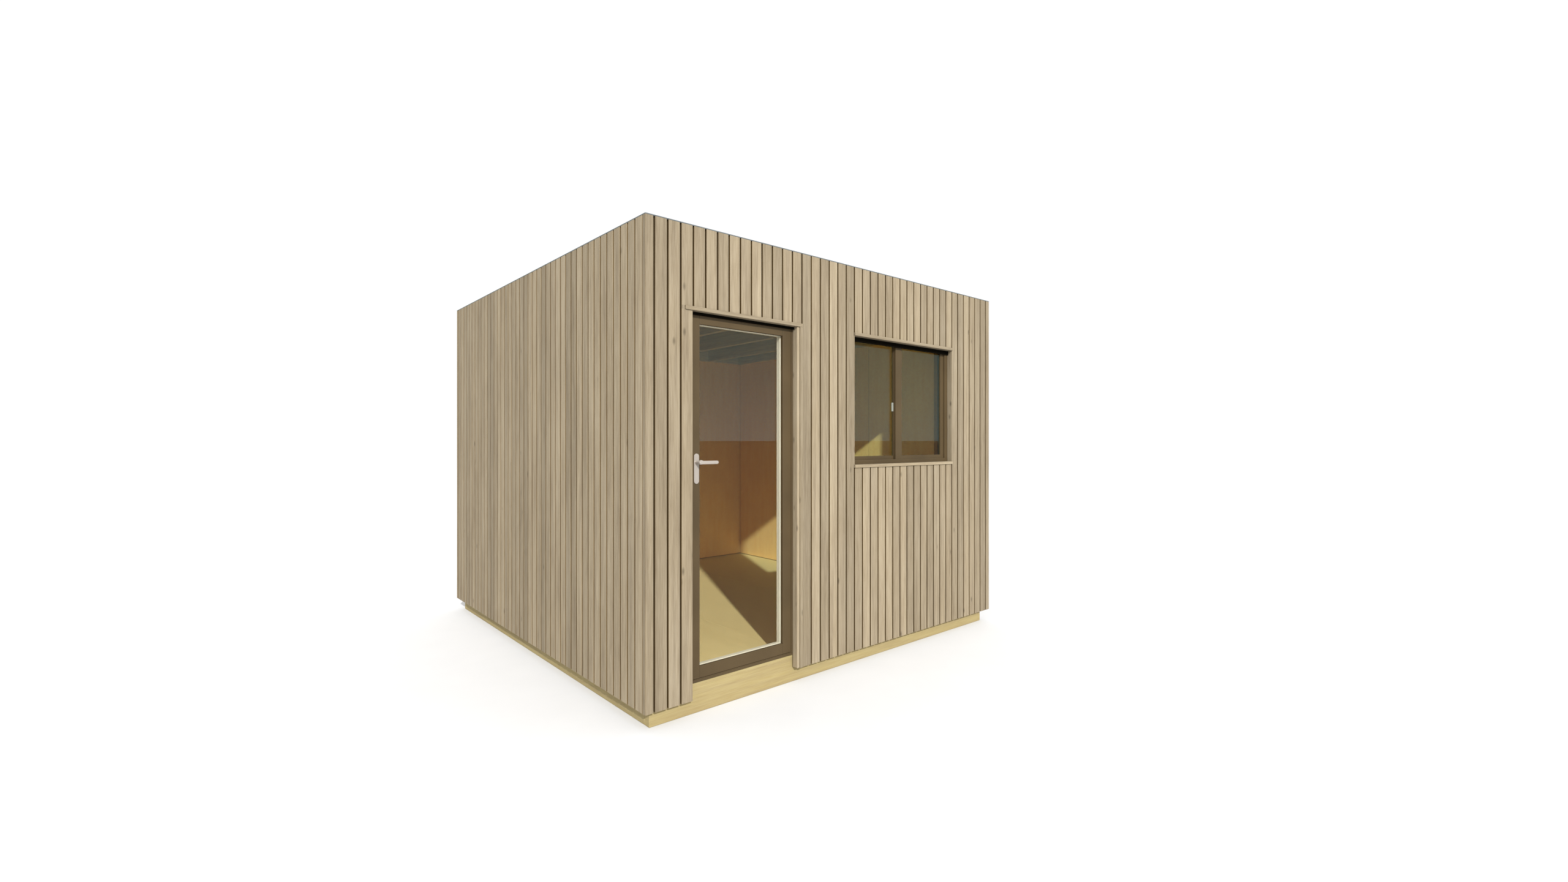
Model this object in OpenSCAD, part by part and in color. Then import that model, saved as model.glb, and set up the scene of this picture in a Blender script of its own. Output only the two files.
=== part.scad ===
// Flat-roofed timber garden studio with slatted cladding, one glazed door and a sliding window.
// The front faces -Y and the origin is on the ground under the middle of the building.

/* [Building] */
// Width over the cladding
body_w = 3025; // [2500:5:3600]
// Depth over the cladding
body_d = 3150; // [2600:5:3800]
// Height from the ground to the top of the capping
body_h = 2500; // [2200:5:2900]

/* [Base and floor] */
// Height of the base rim boards
rim_h = 140; // [110:5:180]
// Thickness of the base rim boards
rim_t = 45; // [35:1:70]
// Number of floor joists between the front and back rims
floor_joist_count = 8; // [6:1:10]
// Width of a floor joist
floor_joist_w = 45; // [35:1:60]
// Height of a floor joist
floor_joist_h = 95; // [70:5:105]
// Thickness of the floor deck
floor_t = 20; // [15:1:30]

/* [Walls] */
// Thickness of the insulated wall panels with their lining
wall_t = 110; // [90:1:140]

/* [Cladding] */
// Thickness of the vertical slats
slat_t = 25; // [18:1:30]
// Distance from one slat to the next
slat_pitch = 75; // [73:0.5:76]
// Gap between two slats
slat_gap = 9; // [5:0.5:14]
// Middle of the first gap, from the left corner
first_gap = 50; // [40:1:60]
// Height of the slats' feet above the ground
slat_foot = 90; // [60:5:105]
// Joint between the side slats and the front or back corner slat
corner_joint = 4; // [2:0.5:6]
// Thickness of the battens behind the slats
batten_t = 25; // [18:1:35]
// Height of a batten
batten_h = 45; // [35:1:50]
// Number of batten rows on a wall
batten_rows = 8; // [6:1:10]

/* [Roof] */
// Distance of the joists' undersides below the top of the capping
joist_drop = 250; // [220:5:300]
// Height of a roof joist
roof_joist_h = 145; // [95:5:160]
// Width of a roof joist
roof_joist_w = 45; // [35:1:60]
// Distance from one roof joist to the next
roof_joist_pitch = 520; // [450:5:540]
// Middle of the first roof joist, from the left corner
roof_joist_first = 360; // [300:5:420]
// Thickness of the roof deck
roof_deck_t = 18; // [12:1:25]
// Thickness of the roof sheet
membrane_t = 3; // [2:0.5:5]
// Thickness of the capping
capping_t = 6; // [3:0.5:10]
// Joint between two lengths of capping
capping_joint = 2; // [1:0.5:4]

/* [Door and window surrounds] */
// Thickness of the surround boards
trim_t = 20; // [15:1:25]
// How far the surround boards stand out of the slats
trim_proud = 8; // [3:0.5:12]
// Distance of the openings' tops below the top of the capping
opening_drop = 400; // [350:5:450]
// How far the boards over the openings hang below the openings' tops
trim_head_drop = 34; // [25:1:40]
// Distance of the door and window faces behind the face of the slats
frame_setback = 40; // [30:1:50]
// Space between the leaf and the cladding or board beside it
leaf_clear = 6; // [5:0.5:7]

/* [Door] */
// Number of the first slat cut for the door
door_first_slat = 4; // [4:1:6]
// Width of the door opening
door_w = 760; // [650:5:950]
// Face width of the door frame
door_frame_w = 24; // [20:1:32]
// Height of the threshold
threshold_h = 12; // [8:1:16]
// Gap beside the leaf
leaf_gap_side = 8.5; // [8:0.5:12]
// Gap over and under the leaf
leaf_gap_end = 7; // [5:0.5:10]
// Thickness of the leaf
leaf_t = 56; // [44:1:60]
// Width of the leaf's stiles
stile_w = 62; // [56:1:80]
// Height of the leaf's top rail
top_rail_h = 60; // [50:1:80]
// Height of the leaf's bottom rail
bottom_rail_h = 61; // [50:1:120]
// Thickness of the glass unit
door_glass_t = 20; // [6:1:24]
// Distance of the glass behind the leaf's face
door_glass_inset = 18; // [8:1:18]
// How far the glass reaches into the leaf's grooves
door_glass_seat = 12; // [8:1:18]

/* [Door handle and hinges] */
// Distance of the spindle from the leaf's edge
handle_backset = 40; // [30:1:46]
// Height of the spindle above the ground
handle_z = 1294; // [1000:1:1350]
// Width of the back plate
plate_w = 30; // [24:1:36]
// Height of the back plate
plate_h = 156; // [140:1:220]
// Thickness of the back plate
plate_t = 4; // [2:0.5:6]
// Distance of the spindle below the top of the back plate
plate_over = 46; // [30:1:70]
// Length of the lever from the spindle to its tip
lever_l = 109; // [90:1:160]
// Height of the lever's grip
lever_h = 18; // [14:1:24]
// Thickness of the lever's grip
lever_t = 11; // [8:1:14]
// Distance of the lever's outer face from the leaf
lever_reach = 48; // [40:1:60]
// Diameter of the lever's neck
neck_d = 20; // [16:1:22]
// Gap between the lever's neck and the back plate
neck_play = 0.5; // [0.3:0.1:1]
// Diameter of the spindle
spindle_d = 8; // [6:0.5:9]
// Diameter of the hinge barrels
barrel_d = 14; // [12:1:16]
// Length of a hinge barrel
barrel_l = 30; // [24:1:40]
// Diameter of the hinge pin
pin_d = 6; // [5:0.5:8]
// Gap between two hinge barrels
barrel_gap = 1; // [0.5:0.5:2]
// Space between the leaf's inner face and the hinge barrels
barrel_stand = 2; // [1:0.5:3]
// Thickness of the hinge leaves
hinge_leaf_t = 3; // [2:0.5:4]
// Width of the hinge leaf on the door
hinge_leaf_w = 34; // [26:1:44]
// Distance of the top and bottom hinges from the leaf's ends
hinge_end = 220; // [150:5:300]
// Clearance round the pins and the spindle
pin_play = 0.1; // [0.05:0.05:0.2]

/* [Window] */
// Number of slats between the door and the window
pier_slats = 6; // [3:1:9]
// Number of slats between the window and the right corner
end_slats = 6; // [3:1:9]
// Underside of the window board
sill_z = 1236; // [1100:1:1300]
// Face width of the window frame's sides
window_side_w = 35; // [28:1:45]
// Face width of the window frame's head and foot
window_end_w = 25; // [22:1:40]
// Depth of the window frame
window_frame_d = 62; // [58:1:70]
// Thickness of a sash
sash_t = 17; // [14:1:18]
// Distance of the outer sash behind the frame's face
sash_inset = 10; // [6:1:12]
// Gap between the two sashes
sash_gap = 3; // [2:0.5:4]
// Depth of the tracks that hold the sashes
track_depth = 8; // [5:1:12]
// Play of a sash in its track
sash_play = 0.2; // [0.1:0.1:0.5]
// Width of a sash's stile at the frame
sash_stile_w = 45; // [35:1:60]
// Width of the stiles that meet
meeting_w = 66; // [45:1:80]
// Distance of the stiles that meet left of the window's middle
meeting_offset = 26; // [0:1:40]
// Height of a sash's rails
sash_rail_h = 33; // [28:1:60]
// Thickness of the window glass
pane_t = 4; // [3:1:6]
// How far the panes reach into the sashes' grooves
pane_seat = 8; // [5:1:14]
// Play of all glass in its grooves
glass_play = 0.3; // [0.2:0.1:0.6]
// Width of the latch
latch_w = 18; // [12:1:22]
// Height of the latch
latch_h = 60; // [40:1:80]
// Depth of the latch
latch_d = 8; // [5:1:10]
// Distance of the latch below the middle of the sash
latch_drop = 42; // [0:1:80]

/* [Hidden] */
$fn = 48;
eps = 0.5;

// Faces of the walls, from the outside in
panel_out = slat_t + batten_t;
panel_in = panel_out + wall_t;
rim_in = panel_out + rim_t;
floor_z = rim_h + floor_t;
clad_top = body_h - capping_t;
joist_bottom = body_h - joist_drop;
deck_z = joist_bottom + roof_joist_h;
roof_joist_span = body_w - panel_in - roof_joist_w - roof_joist_first;
roof_joist_count = floor(roof_joist_span / roof_joist_pitch) + 1;
batten_step = (clad_top - slat_foot - batten_h) / (batten_rows - 1);

// Places of the slats on the front, counted from the left corner
function gap_x(n) = first_gap + (n - 1) * slat_pitch;
function slat_left(n) = gap_x(n) + slat_gap / 2;
function slat_right(n) = gap_x(n + 1) - slat_gap / 2;
last_gap = floor((body_w - first_gap) / slat_pitch) + 1;

// Openings and surround boards
opening_top = body_h - opening_drop;
trim_head_z = opening_top - trim_head_drop;
trim_head_top = trim_head_z + trim_t;
sill_top = sill_z + trim_t;

// Door opening, frame and leaf: the opening takes as many whole slats as fit in its width
door_slats = floor((door_w + trim_t) / slat_pitch);
door_end_slat = door_first_slat + door_slats;
door_right = gap_x(door_end_slat) - trim_t;
door_left = door_right - door_w;
leaf_left = door_left + door_frame_w + leaf_gap_side;
leaf_right = door_right - door_frame_w - leaf_gap_side;
leaf_bottom = floor_z + threshold_h + leaf_gap_end;
leaf_top = opening_top - door_frame_w - leaf_gap_end;
leaf_face = frame_setback;
leaf_back = leaf_face + leaf_t;
door_y = [leaf_face, leaf_back];
glass_left = leaf_left + stile_w;
glass_right = leaf_right - stile_w;
glass_bottom = leaf_bottom + bottom_rail_h;
glass_top = leaf_top - top_rail_h;
glass_y = leaf_face + door_glass_inset;

// The cladding on the left of the door ends with a slat, or beside the leaf if that comes first
clad_left_end = min(slat_right(door_first_slat - 1), leaf_left - leaf_clear);

// Hinge axis, behind the gap on the right of the leaf
hinge_x = leaf_right + leaf_gap_side / 2;
hinge_y = leaf_back + barrel_stand + barrel_d / 2;
hinge_zs = [leaf_bottom + hinge_end, (leaf_bottom + leaf_top) / 2, leaf_top - hinge_end];

// Handle on the left of the leaf
handle_x = leaf_left + handle_backset;
lever_out = leaf_face - lever_reach;
lever_in = leaf_back + lever_reach;

// How far the boards or the lever stand out of the slats
front_reach = max(trim_proud, -lever_out);

// Window opening, frame and sashes
window_first_slat = door_end_slat + pier_slats;
window_end_slat = last_gap - end_slats;
window_left = gap_x(window_first_slat);
window_right = gap_x(window_end_slat);
window_mid = (window_left + window_right) / 2;
frame_in_left = window_left + window_side_w;
frame_in_right = window_right - window_side_w;
frame_in_bottom = sill_top + window_end_w;
frame_in_top = opening_top - window_end_w;
frame_y = [frame_setback, frame_setback + window_frame_d];
outer_sash_y = frame_setback + sash_inset;
inner_sash_y = outer_sash_y + sash_t + sash_gap;
sash_bottom = frame_in_bottom - track_depth;
sash_top = frame_in_top + track_depth - sash_play;
meeting_x = window_mid - meeting_offset;
outer_sash_x = [meeting_x - meeting_w / 2, frame_in_right + track_depth - sash_play];
inner_sash_x = [frame_in_left - track_depth + sash_play, meeting_x + meeting_w / 2];
latch_z = (sash_bottom + sash_top) / 2 - latch_drop;

// Moves the left front corner of the cladding to its place round the origin
module placed() {
    translate([-body_w / 2, (front_reach - body_d) / 2, 0])
        children();
}

// A block between two values on each axis
module block(x, y, z) {
    translate([x[0], y[0], z[0]])
        cube([x[1] - x[0], y[1] - y[0], z[1] - z[0]]);
}

// The same block on the opposite side of the building, left to right
module at_right() {
    translate([body_w, 0, 0])
        mirror([1, 0, 0])
            children();
}

// The same block on the opposite side of the building, front to back
module at_back() {
    translate([0, body_d, 0])
        mirror([0, 1, 0])
            children();
}

// A rod along Y between two values
module rod_y(x, z, d, y) {
    translate([x, y[1], z])
        rotate([90, 0, 0])
            cylinder(d = d, h = y[1] - y[0]);
}

// Base and floor

module rim_end() {
    block([panel_out, body_w - panel_out], [panel_out, rim_in], [0, rim_h]);
}

module rim_side() {
    block([panel_out, rim_in], [rim_in, body_d - rim_in], [0, rim_h]);
}

module base_front() {
    color("burlywood")
        placed()
            rim_end();
}

module base_back() {
    color("burlywood")
        placed()
            at_back()
                rim_end();
}

module base_left() {
    color("burlywood")
        placed()
            rim_side();
}

module base_right() {
    color("burlywood")
        placed()
            at_right()
                rim_side();
}

module floor_joists() {
    clear = body_w - 2 * rim_in - floor_joist_count * floor_joist_w;
    step = clear / (floor_joist_count + 1) + floor_joist_w;
    color("tan")
        placed()
            for (i = [1 : floor_joist_count]) {
                x = rim_in + i * step - floor_joist_w;
                block([x, x + floor_joist_w], [rim_in, body_d - rim_in], [rim_h - floor_joist_h, rim_h]);
            }
}

module floor_deck() {
    color("goldenrod")
        placed()
            block([panel_out, body_w - panel_out], [panel_out, body_d - panel_out], [rim_h, floor_z]);
}

// Walls

module front_pier(x, z) {
    color("peru")
        placed()
            block(x, [panel_out, panel_in], z);
}

module front_wall_left() {
    front_pier([panel_out, door_left], [floor_z, opening_top]);
}

module front_wall_middle() {
    front_pier([door_right, window_left], [floor_z, opening_top]);
}

module front_wall_right() {
    front_pier([window_right, body_w - panel_out], [floor_z, opening_top]);
}

module front_wall_under_window() {
    front_pier([window_left, window_right], [floor_z, sill_top]);
}

module front_wall_header() {
    front_pier([panel_out, body_w - panel_out], [opening_top, clad_top]);
}

module side_wall() {
    block([panel_out, panel_in], [panel_in, body_d - panel_in], [floor_z, clad_top]);
}

module left_wall() {
    color("peru")
        placed()
            side_wall();
}

module right_wall() {
    color("peru")
        placed()
            at_right()
                side_wall();
}

module back_wall() {
    color("peru")
        placed()
            at_back()
                block([panel_out, body_w - panel_out], [panel_out, panel_in], [floor_z, clad_top]);
}

// Battens behind the slats

module batten_rows_front(x) {
    for (i = [0 : batten_rows - 1]) {
        z = slat_foot + i * batten_step;
        block(x, [slat_t, panel_out], [z, z + batten_h]);
    }
}

module batten_rows_side() {
    for (i = [0 : batten_rows - 1]) {
        z = slat_foot + i * batten_step;
        block([slat_t, panel_out], [panel_out, body_d - panel_out], [z, z + batten_h]);
    }
}

// Upright battens close the cavity where slats cover the edge of an opening
module batten_upright(x, z) {
    block([x, x + trim_t], [slat_t, panel_out], z);
}

module battens_front() {
    cavity = [slat_t - eps, panel_out + eps];
    cut_top = max(trim_head_top, opening_top);
    color("sienna")
        placed() {
            difference() {
                batten_rows_front([slat_t, body_w - slat_t]);
                block([door_left - trim_t, door_right + trim_t], cavity, [0, cut_top]);
                block([window_left - trim_t, window_right + trim_t], cavity, [sill_z, cut_top]);
            }
            batten_upright(door_left - trim_t, [slat_foot, trim_head_z]);
            batten_upright(window_left - trim_t, [sill_z, trim_head_top]);
            batten_upright(window_right, [sill_z, trim_head_top]);
        }
}

module battens_left() {
    color("sienna")
        placed()
            batten_rows_side();
}

module battens_right() {
    color("sienna")
        placed()
            at_right()
                batten_rows_side();
}

module battens_back() {
    color("sienna")
        placed()
            at_back()
                batten_rows_front([slat_t, body_w - slat_t]);
}

// Cladding

module clad_front(x, z) {
    color("tan")
        placed()
            block(x, [0, slat_t], z);
}

module cladding_front_left() {
    color("tan")
        placed()
            difference() {
                block([0, clad_left_end], [0, slat_t], [slat_foot, clad_top]);
                block([door_left - trim_t, door_right], [-eps, slat_t + eps], [trim_head_z, trim_head_top]);
            }
}

module cladding_front_middle() {
    clad_front([slat_left(door_end_slat), slat_right(window_first_slat - 1)], [slat_foot, clad_top]);
}

module cladding_front_right() {
    clad_front([slat_left(window_end_slat), body_w], [slat_foot, clad_top]);
}

module cladding_over_door() {
    clad_front([clad_left_end + slat_gap, slat_right(door_end_slat - 1)], [trim_head_top, clad_top]);
}

module cladding_over_window() {
    clad_front([slat_left(window_first_slat), slat_right(window_end_slat - 1)], [trim_head_top, clad_top]);
}

module cladding_under_window() {
    clad_front([slat_left(window_first_slat), slat_right(window_end_slat - 1)], [slat_foot, sill_z]);
}

module clad_side() {
    inset = slat_t + corner_joint;
    block([0, slat_t], [inset, body_d - inset], [slat_foot, clad_top]);
}

module cladding_left() {
    color("tan")
        placed()
            clad_side();
}

module cladding_right() {
    color("tan")
        placed()
            at_right()
                clad_side();
}

module cladding_back() {
    color("tan")
        placed()
            at_back()
                block([0, body_w], [0, slat_t], [slat_foot, clad_top]);
}

// Roof

module roof_joists() {
    color("wheat")
        placed()
            for (i = [0 : roof_joist_count - 1]) {
                x = roof_joist_first + i * roof_joist_pitch - roof_joist_w / 2;
                block([x, x + roof_joist_w], [panel_in, body_d - panel_in], [joist_bottom, deck_z]);
            }
}

// A layer that covers the room from wall to wall
module roof_layer(z) {
    block([panel_in, body_w - panel_in], [panel_in, body_d - panel_in], z);
}

module roof_deck() {
    color("wheat")
        placed()
            roof_layer([deck_z, deck_z + roof_deck_t]);
}

module roof_sheet() {
    z = deck_z + roof_deck_t;
    color("dimgray")
        placed()
            roof_layer([z, z + membrane_t]);
}

module roof_capping() {
    side_y = [panel_in + capping_joint, body_d - panel_in - capping_joint];
    color("slategray")
        placed() {
            block([0, body_w], [0, panel_in], [clad_top, body_h]);
            at_back()
                block([0, body_w], [0, panel_in], [clad_top, body_h]);
            block([0, panel_in], side_y, [clad_top, body_h]);
            at_right()
                block([0, panel_in], side_y, [clad_top, body_h]);
        }
}

// Surround boards

module trim_board(x, back, z) {
    color("tan")
        placed()
            block(x, [-trim_proud, back], z);
}

module door_trim_right() {
    trim_board([door_right, door_right + trim_t], panel_out, [slat_foot, trim_head_z]);
}

module door_trim_head() {
    x = [door_left - trim_t, door_right + trim_t];
    trim_board(x, frame_setback - leaf_clear, [trim_head_z, trim_head_top]);
}

module window_trim_head() {
    trim_board([window_left, window_right], frame_setback, [trim_head_z, trim_head_top]);
}

module window_board() {
    trim_board([window_left, window_right], panel_out, [sill_z, sill_top]);
}

// Door frame

module door_frame_bar(x, z) {
    color("saddlebrown")
        placed()
            block(x, door_y, z);
}

module door_jamb_left() {
    door_frame_bar([door_left, door_left + door_frame_w], [floor_z, opening_top]);
}

module door_jamb_right() {
    door_frame_bar([door_right - door_frame_w, door_right], [floor_z, opening_top]);
}

module door_frame_head() {
    x = [door_left + door_frame_w, door_right - door_frame_w];
    door_frame_bar(x, [opening_top - door_frame_w, opening_top]);
}

module door_threshold() {
    x = [door_left + door_frame_w, door_right - door_frame_w];
    door_frame_bar(x, [floor_z, floor_z + threshold_h]);
}

// Door leaf

// The grooves that hold the glass, all round the inside of the leaf
module leaf_groove() {
    y = [glass_y - glass_play, glass_y + door_glass_t + glass_play];
    x = [glass_left - door_glass_seat, glass_right + door_glass_seat];
    block(x, y, [glass_bottom - door_glass_seat, glass_top + door_glass_seat]);
}

module leaf_bar(x, z) {
    color("saddlebrown")
        placed()
            difference() {
                block(x, door_y, z);
                leaf_groove();
                rod_y(handle_x, handle_z, spindle_d + 2 * pin_play, [leaf_face - eps, leaf_back + eps]);
            }
}

module door_stile_left() {
    leaf_bar([leaf_left, glass_left], [leaf_bottom, leaf_top]);
}

module door_stile_right() {
    leaf_bar([glass_right, leaf_right], [leaf_bottom, leaf_top]);
}

module door_top_rail() {
    leaf_bar([glass_left, glass_right], [glass_top, leaf_top]);
}

module door_bottom_rail() {
    leaf_bar([glass_left, glass_right], [leaf_bottom, glass_bottom]);
}

// The glass stands on the floor of the lower groove
module door_glass() {
    reach = door_glass_seat - glass_play;
    color("lightblue", 0.4)
        placed()
            block([glass_left - reach, glass_right + reach], [glass_y, glass_y + door_glass_t],
                [glass_bottom - door_glass_seat, glass_top + reach]);
}

// Hinges: each has two barrels on the leaf, and one barrel with the pin on the frame

module barrel(z, l, d) {
    translate([hinge_x, hinge_y, z])
        cylinder(d = d, h = l);
}

module door_hinge_leaves() {
    plate_x = [leaf_right - hinge_leaf_w, hinge_x];
    plate_y = [leaf_back, leaf_back + hinge_leaf_t];
    half = barrel_l / 2 + barrel_gap;
    reach = half + barrel_l;
    color("gainsboro")
        placed()
            for (z = hinge_zs)
                difference() {
                    union() {
                        block([plate_x[0], hinge_x - barrel_d], plate_y, [z - reach, z + reach]);
                        for (end = [z + half, z - reach]) {
                            block(plate_x, plate_y, [end, end + barrel_l]);
                            barrel(end, barrel_l, barrel_d);
                        }
                    }
                    barrel(z - reach - eps, 2 * (reach + eps), pin_d + 2 * pin_play);
                }
}

module frame_hinge_leaves() {
    plate_x = [hinge_x, door_right];
    plate_y = [leaf_back, leaf_back + hinge_leaf_t];
    pin_l = 3 * barrel_l + 2 * barrel_gap;
    color("gainsboro")
        placed()
            for (z = hinge_zs) {
                block(plate_x, plate_y, [z - barrel_l / 2, z + barrel_l / 2]);
                barrel(z - barrel_l / 2, barrel_l, barrel_d);
                barrel(z - pin_l / 2, pin_l, pin_d);
            }
}

// Handle: a back plate and a lever on each face of the leaf, on one spindle

module plate_outline() {
    end = plate_h - plate_w;
    translate([0, plate_over - plate_w / 2])
        circle(d = plate_w);
    translate([0, plate_over - plate_w / 2 - end])
        circle(d = plate_w);
    translate([-plate_w / 2, plate_over - plate_w / 2 - end])
        square([plate_w, end]);
}

module back_plate(y) {
    difference() {
        translate([handle_x, y, handle_z])
            rotate([90, 0, 0])
                linear_extrude(plate_t)
                    plate_outline();
        rod_y(handle_x, handle_z, spindle_d + 2 * pin_play, [y - plate_t - eps, y + eps]);
    }
}

module handle_plates() {
    color("gainsboro")
        placed() {
            back_plate(leaf_face);
            back_plate(leaf_back + plate_t);
        }
}

module lever_outline() {
    circle(d = neck_d);
    translate([0, -lever_h / 2])
        square([lever_l - lever_h / 2, lever_h]);
    translate([lever_l - lever_h / 2, 0])
        circle(d = lever_h);
}

module lever_grip(y) {
    translate([handle_x, y + lever_t, handle_z])
        rotate([90, 0, 0])
            linear_extrude(lever_t)
                lever_outline();
}

module door_lever() {
    color("gainsboro")
        placed() {
            lever_grip(lever_out);
            lever_grip(lever_in - lever_t);
            rod_y(handle_x, handle_z, neck_d, [lever_out, leaf_face - plate_t - neck_play]);
            rod_y(handle_x, handle_z, neck_d, [leaf_back + plate_t + neck_play, lever_in]);
            rod_y(handle_x, handle_z, spindle_d, [lever_out, lever_in]);
        }
}

// Window

// One track groove runs all round the inside of the frame
module track(y) {
    x = [frame_in_left - track_depth, frame_in_right + track_depth];
    block(x, [y, y + sash_t + 2 * sash_play], [sash_bottom, frame_in_top + track_depth]);
}

module window_frame() {
    color("saddlebrown")
        placed()
            difference() {
                block([window_left, window_right], frame_y, [sill_top, opening_top]);
                block([frame_in_left, frame_in_right], [0, 2 * panel_in], [frame_in_bottom, frame_in_top]);
                track(outer_sash_y - sash_play);
                track(inner_sash_y - sash_play);
            }
}

// The sheet of space that a pane takes in its sash, grown by a margin
module pane_space(x, y, left_w, right_w, margin) {
    mid = y + sash_t / 2;
    half = pane_t / 2 + margin;
    seat = pane_seat + margin;
    block([x[0] + left_w - seat, x[1] - right_w + seat], [mid - half, mid + half],
        [sash_bottom + sash_rail_h - seat, sash_top - sash_rail_h + seat]);
}

module sash(x, y, left_w, right_w) {
    color("saddlebrown")
        placed()
            difference() {
                block(x, [y, y + sash_t], [sash_bottom, sash_top]);
                block([x[0] + left_w, x[1] - right_w], [y - eps, y + sash_t + eps],
                    [sash_bottom + sash_rail_h, sash_top - sash_rail_h]);
                pane_space(x, y, left_w, right_w, glass_play);
            }
}

module pane(x, y, left_w, right_w) {
    color("lightblue", 0.4)
        placed()
            pane_space(x, y, left_w, right_w, 0);
}

module window_sash_left() {
    sash(inner_sash_x, inner_sash_y, sash_stile_w, meeting_w);
}

module window_sash_right() {
    sash(outer_sash_x, outer_sash_y, meeting_w, sash_stile_w);
}

module window_glass_left() {
    pane(inner_sash_x, inner_sash_y, sash_stile_w, meeting_w);
}

module window_glass_right() {
    pane(outer_sash_x, outer_sash_y, meeting_w, sash_stile_w);
}

// The latch stands on the edge of the inner sash's stile, in front of the inner pane
module window_latch() {
    stile_x = inner_sash_x[1] - meeting_w;
    back_y = inner_sash_y + (sash_t - pane_t) / 2 - glass_play;
    color("whitesmoke")
        placed()
            block([stile_x - latch_w, stile_x], [back_y - latch_d, back_y],
                [latch_z - latch_h / 2, latch_z + latch_h / 2]);
}

base_front();
base_back();
base_left();
base_right();
floor_joists();
floor_deck();
front_wall_left();
front_wall_middle();
front_wall_right();
front_wall_under_window();
front_wall_header();
left_wall();
right_wall();
back_wall();
battens_front();
battens_left();
battens_right();
battens_back();
cladding_front_left();
cladding_front_middle();
cladding_front_right();
cladding_over_door();
cladding_over_window();
cladding_under_window();
cladding_left();
cladding_right();
cladding_back();
roof_joists();
roof_deck();
roof_sheet();
roof_capping();
door_trim_right();
door_trim_head();
window_trim_head();
window_board();
door_jamb_left();
door_jamb_right();
door_frame_head();
door_threshold();
door_stile_left();
door_stile_right();
door_top_rail();
door_bottom_rail();
door_glass();
door_hinge_leaves();
frame_hinge_leaves();
handle_plates();
door_lever();
window_frame();
window_sash_left();
window_sash_right();
window_glass_left();
window_glass_right();
window_latch();
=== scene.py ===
# %% [markdown]
# # A slatted garden studio
#
# The solids of the studio are already built at full size. This lesson dresses them: it lays the slats,
# boards and sheets one by one, gives every surface its finish, and sets up a plain pale studio to look
# at the result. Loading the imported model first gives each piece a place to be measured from.

# %% Load the model
import math
import random

import bmesh
import bpy
from mathutils import Matrix, Vector


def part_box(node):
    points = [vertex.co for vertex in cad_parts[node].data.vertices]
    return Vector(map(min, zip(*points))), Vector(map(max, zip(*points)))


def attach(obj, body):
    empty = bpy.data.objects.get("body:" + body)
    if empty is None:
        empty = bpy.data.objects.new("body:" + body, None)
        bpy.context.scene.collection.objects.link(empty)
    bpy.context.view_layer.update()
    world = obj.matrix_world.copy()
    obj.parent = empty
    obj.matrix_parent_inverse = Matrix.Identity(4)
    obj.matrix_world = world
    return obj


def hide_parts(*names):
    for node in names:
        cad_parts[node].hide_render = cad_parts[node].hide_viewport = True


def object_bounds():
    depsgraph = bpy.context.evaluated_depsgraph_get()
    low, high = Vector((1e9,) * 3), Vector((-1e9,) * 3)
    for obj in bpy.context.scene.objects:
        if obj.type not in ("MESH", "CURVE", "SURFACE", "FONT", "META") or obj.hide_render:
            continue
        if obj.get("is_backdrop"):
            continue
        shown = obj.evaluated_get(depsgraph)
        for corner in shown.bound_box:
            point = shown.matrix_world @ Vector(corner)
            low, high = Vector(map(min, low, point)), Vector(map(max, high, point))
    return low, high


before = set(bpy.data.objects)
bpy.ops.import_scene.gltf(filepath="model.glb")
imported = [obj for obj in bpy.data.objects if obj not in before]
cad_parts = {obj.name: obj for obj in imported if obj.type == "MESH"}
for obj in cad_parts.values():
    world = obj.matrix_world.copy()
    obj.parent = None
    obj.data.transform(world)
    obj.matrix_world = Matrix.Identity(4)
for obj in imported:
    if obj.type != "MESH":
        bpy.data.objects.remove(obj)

cad_low, cad_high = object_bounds()
BOARD_SEED = 7
draw = random.Random(BOARD_SEED)
print("model box", [round(x, 3) for x in (*cad_low, *cad_high)])

# %% [markdown]
# Almost every piece of this building is a planed board, a sheet or a bar, so one helper serves them all.
# A box could be typed in as eight corners, but an operator makes it in one call, and a bevel then breaks
# its edges the way a plane or a press does. Each box also carries a random number called board, which
# the timber finishes use to cut every board from another part of the tree.

# %% A box with broken edges
X, Y, Z = 0, 1, 2
HAIR = 1e-6
SOFT_EDGE = 0.0015


def new_mesh():
    bm = bmesh.new()
    bm.faces.layers.float.new("board")
    return bm


def block(bm, low, high, edge=SOFT_EDGE, segments=2, axes=(X, Y, Z), finish=0):
    """Adds a box whose edges along the given axes are rounded, and returns its faces."""
    low, high = Vector(low), Vector(high)
    others = set(bm.faces)
    place = Matrix.Translation((low + high) / 2) @ Matrix.Diagonal((*(high - low), 1))
    corners = bmesh.ops.create_cube(bm, size=1, matrix=place)["verts"]
    edges = {e for v in corners for e in v.link_edges}
    picked = [e for e in edges if any(abs(e.verts[0].co[k] - e.verts[1].co[k]) > HAIR for k in axes)]
    if edge and picked:
        bmesh.ops.bevel(
            bm, geom=picked, offset=edge, offset_type="OFFSET", affect="EDGES",
            segments=segments, profile=0.5, material=-1, clamp_overlap=True,
        )
    fresh = [f for f in bm.faces if f not in others]
    tone = draw.random()
    layer = bm.faces.layers.float["board"]
    for face in fresh:
        face.material_index = finish
        face[layer] = tone
    return fresh


# %% [markdown]
# A finished box, or a group of them, becomes a piece of the studio: its mesh gets its finishes, it rides on
# one of the three bodies, and it takes the place of the solids that it dresses. One helper does all of
# this, so that no piece is left without a body.

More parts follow.
